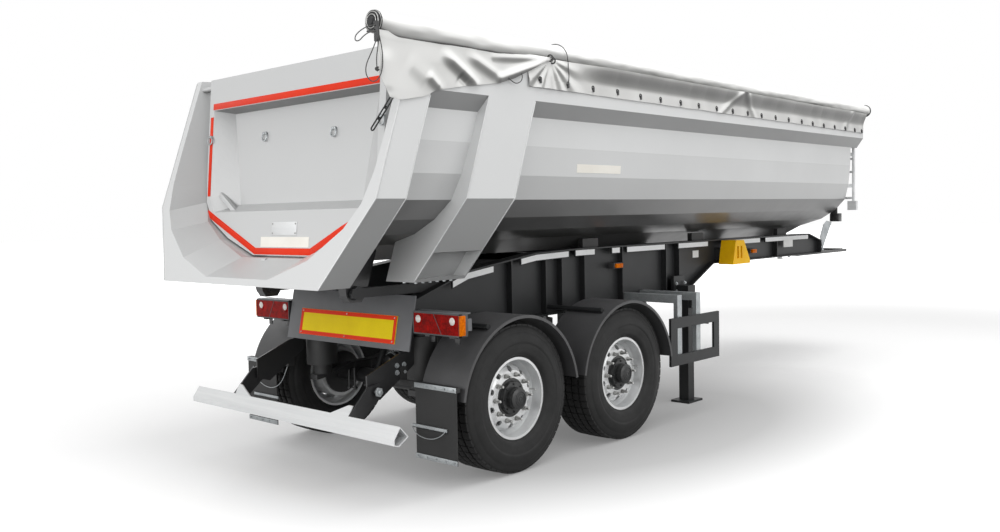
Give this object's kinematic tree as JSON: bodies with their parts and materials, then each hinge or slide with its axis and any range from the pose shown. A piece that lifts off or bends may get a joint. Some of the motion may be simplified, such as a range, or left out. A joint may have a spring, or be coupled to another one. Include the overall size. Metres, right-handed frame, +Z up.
{
  "type": "half-pipe tipper semi-trailer",
  "caption": "Two-axle half-pipe tipper semi-trailer with a tipping body, swinging tailgate, folding underrun bar and front ram.",
  "frame": {"origin": "on the ground under the middle of the bounding box", "axes": "+X forward to the tractor along the longest extent, +Y to the trailer's left, +Z up"},
  "size_m": [8.68, 2.5688, 3.0755],
  "materials": {
    "body_paint": "satin",
    "frame_paint": "satin",
    "galvanised": "matte",
    "bare_steel": "satin",
    "hard_chrome": "polished",
    "aluminium": "satin",
    "tyre": "matte",
    "rim_paint": "satin",
    "rubber": "matte",
    "guard_plastic": "matte",
    "marker_yellow": "satin",
    "lamp_red": "gloss",
    "chock_yellow": "matte",
    "tarp_cloth": "matte"
  },
  "bodies": {
    "chassis": {"frame_beams": "frame_paint", "cross_members": "frame_paint", "coupler_plate": "frame_paint", "kingpin": "bare_steel", "axle_beams": "frame_paint", "suspension_arms": "frame_paint", "air_springs": "rubber", "landing_sleeves": "frame_paint", "landing_feet": "frame_paint", "mudguards": "guard_plastic", "mudguard_tubes": "galvanised", "mudflaps": "rubber", "rear_panel": "frame_paint", "marker_plate": "marker_yellow", "rear_lamps": "lamp_red", "underrun_brackets": "frame_paint", "side_guards": "frame_paint", "side_guard_brackets": "galvanised", "wheel_chocks": "chock_yellow", "air_tanks": "frame_paint", "hose_stand": "galvanised", "body_rests": "rubber"},
    "tipping_body": {"floor_pan": "body_paint", "side_panels": "body_paint", "top_rails": "body_paint", "front_wall": "body_paint", "rear_frame": "body_paint", "rib": "body_paint", "pivot_ears": "body_paint", "ladder": "aluminium", "tarp_roll": "tarp_cloth", "tarp_skirt": "tarp_cloth", "tarp_flap": "tarp_cloth"},
    "tailgate": {"tailgate": "body_paint"},
    "underrun": {"underrun_bar": "aluminium", "underrun_arms": "frame_paint"},
    "ram_tube": {"ram_tube": "frame_paint"},
    "ram_stage_1": {"ram_stage_1": "hard_chrome"},
    "ram_stage_2": {"ram_stage_2": "hard_chrome"},
    "ram_stage_3": {"ram_stage_3": "hard_chrome"},
    "ram_stage_4": {"ram_stage_4": "hard_chrome"},
    "ram_stage_5": {"ram_stage_5": "hard_chrome"},
    "rear_right_wheel": {"tyre_rear_right": "tyre", "wheel_rear_right": "rim_paint"},
    "rear_left_wheel": {"tyre_rear_left": "tyre", "wheel_rear_left": "rim_paint"},
    "front_right_wheel": {"tyre_front_right": "tyre", "wheel_front_right": "rim_paint"},
    "front_left_wheel": {"tyre_front_left": "tyre", "wheel_front_left": "rim_paint"}
  },
  "joints": [
    {"name": "rear_right_wheel_spin", "type": "hinge", "parent": "chassis", "child": "rear_right_wheel", "pos_m": [-2.81, -1.02, 0.536], "axis": [0, 1, 0], "continuous": true},
    {"name": "rear_left_wheel_spin", "type": "hinge", "parent": "chassis", "child": "rear_left_wheel", "pos_m": [-2.81, 1.02, 0.536], "axis": [0, 1, 0], "continuous": true},
    {"name": "front_right_wheel_spin", "type": "hinge", "parent": "chassis", "child": "front_right_wheel", "pos_m": [-1.5, -1.02, 0.536], "axis": [0, 1, 0], "continuous": true},
    {"name": "front_left_wheel_spin", "type": "hinge", "parent": "chassis", "child": "front_left_wheel", "pos_m": [-1.5, 1.02, 0.536], "axis": [0, 1, 0], "continuous": true},
    {"name": "body_tip", "type": "hinge", "parent": "chassis", "child": "tipping_body", "pos_m": [-3.73, 0, 1.33], "axis": [0, -1, 0], "range_deg": [0, 45]},
    {"name": "tailgate_swing", "type": "hinge", "parent": "tipping_body", "child": "tailgate", "pos_m": [-3.795, 0, 2.87], "axis": [0, 1, 0], "range_deg": [0, 70]},
    {"name": "underrun_fold", "type": "hinge", "parent": "chassis", "child": "underrun", "pos_m": [-3.706, 0, 0.665], "axis": [0, 1, 0], "range_deg": [0, 85]},
    {"name": "ram_swing", "type": "hinge", "parent": "chassis", "child": "ram_tube", "pos_m": [3.46, 0, 1.365], "axis": [0, -1, 0], "range_deg": [0, 29]},
    {"name": "ram_stage_1_slide", "type": "slide", "parent": "ram_tube", "child": "ram_stage_1", "axis": [0.0209, 0, 0.9998], "range_m": [0, 1.089]},
    {"name": "ram_stage_2_slide", "type": "slide", "parent": "ram_stage_1", "child": "ram_stage_2", "axis": [0.0209, 0, 0.9998], "range_m": [0, 1.089]},
    {"name": "ram_stage_3_slide", "type": "slide", "parent": "ram_stage_2", "child": "ram_stage_3", "axis": [0.0209, 0, 0.9998], "range_m": [0, 1.089]},
    {"name": "ram_stage_4_slide", "type": "slide", "parent": "ram_stage_3", "child": "ram_stage_4", "axis": [0.0209, 0, 0.9998], "range_m": [0, 1.089]},
    {"name": "ram_stage_5_slide", "type": "slide", "parent": "ram_stage_4", "child": "ram_stage_5", "axis": [0.0209, 0, 0.9998], "range_m": [0, 1.089]}
  ],
  "couplings": [
    {"joint": "ram_swing", "follows": "body_tip", "ratio": 0.62844},
    {"joint": "ram_stage_1_slide", "follows": "body_tip", "m_per_rad": 1.3819},
    {"joint": "ram_stage_2_slide", "follows": "body_tip", "m_per_rad": 1.3819},
    {"joint": "ram_stage_3_slide", "follows": "body_tip", "m_per_rad": 1.3819},
    {"joint": "ram_stage_4_slide", "follows": "body_tip", "m_per_rad": 1.3819},
    {"joint": "ram_stage_5_slide", "follows": "body_tip", "m_per_rad": 1.3819}
  ]
}
